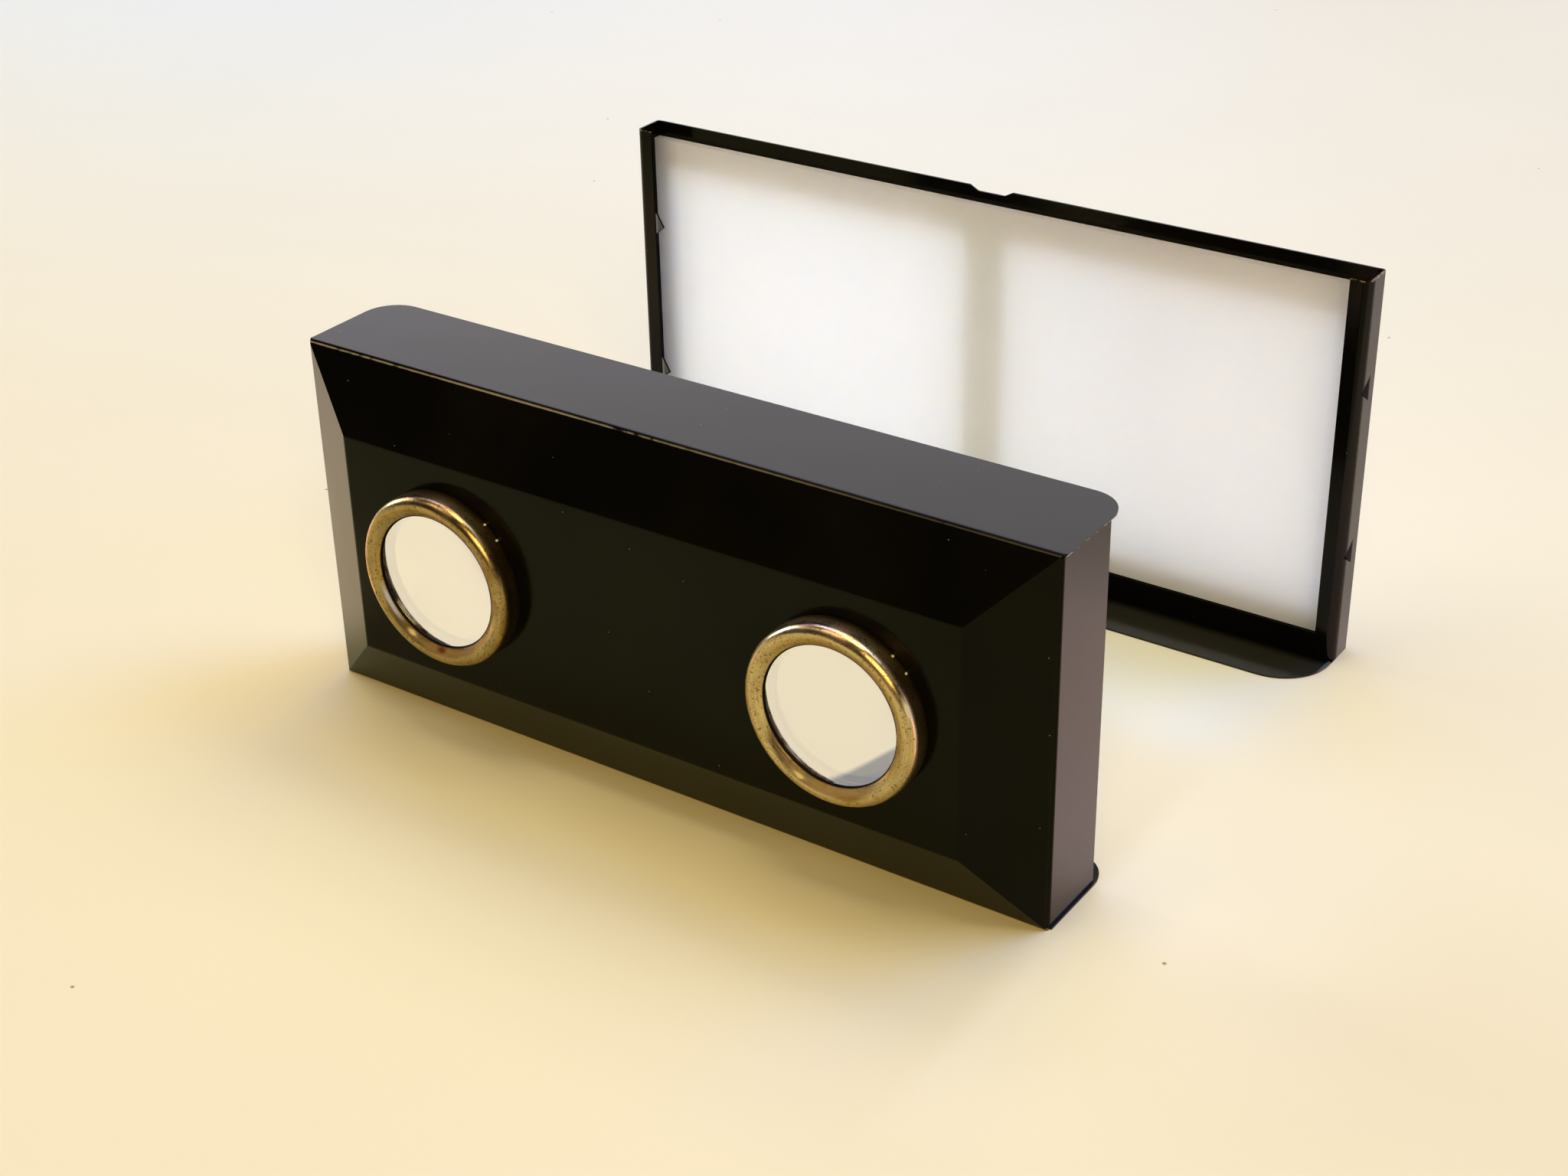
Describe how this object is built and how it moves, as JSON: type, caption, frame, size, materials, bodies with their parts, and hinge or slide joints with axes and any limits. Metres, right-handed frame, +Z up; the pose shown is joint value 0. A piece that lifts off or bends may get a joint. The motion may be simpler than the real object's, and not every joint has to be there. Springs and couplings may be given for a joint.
{
  "type": "stereoscope",
  "caption": "Pocket stereoscope in two free-standing halves: a folded tinplate eyepiece box with brass-rimmed lenses and a picture holder with an opal glass.",
  "frame": {"origin": "bottom centre of the whole object's box, on the surface that both halves stand on", "axes": "+X to the right along the long side of both halves, +Y from the eyes towards the picture, +Z up"},
  "size_m": [0.132, 0.0998, 0.0634],
  "materials": {
    "lacquered_tin": "aged black japan lacquer, satin, worn to bronze at the folds",
    "rim_brass": "aged drawn brass, polished on the crown, brown in the corners",
    "cell_brass": "dull aged brass",
    "lens_glass": "clear polished glass",
    "spring_wire": "dull drawn wire",
    "opal_glass": "fine ground white glass, even and translucent"
  },
  "bodies": {
    "eyepiece_half": {"front_shell": "lacquered_tin", "left_eyepiece_rim": "rim_brass", "right_eyepiece_rim": "rim_brass", "left_lens_cell": "cell_brass", "right_lens_cell": "cell_brass", "left_lens": "lens_glass", "right_lens": "lens_glass", "left_lens_spring": "spring_wire", "right_lens_spring": "spring_wire"},
    "holder_half": {"holder_frame": "lacquered_tin"},
    "opal_pane": {"diffuser_glass": "opal_glass"}
  },
  "joints": [
    {"name": "focus_slide", "type": "slide", "parent": "eyepiece_half", "child": "holder_half", "axis": [0, 1, 0], "range_m": [-0.056, 0.02]},
    {"name": "pane_lift", "type": "slide", "parent": "holder_half", "child": "opal_pane", "axis": [0, 0, 1], "range_m": [0, 0.062]}
  ]
}
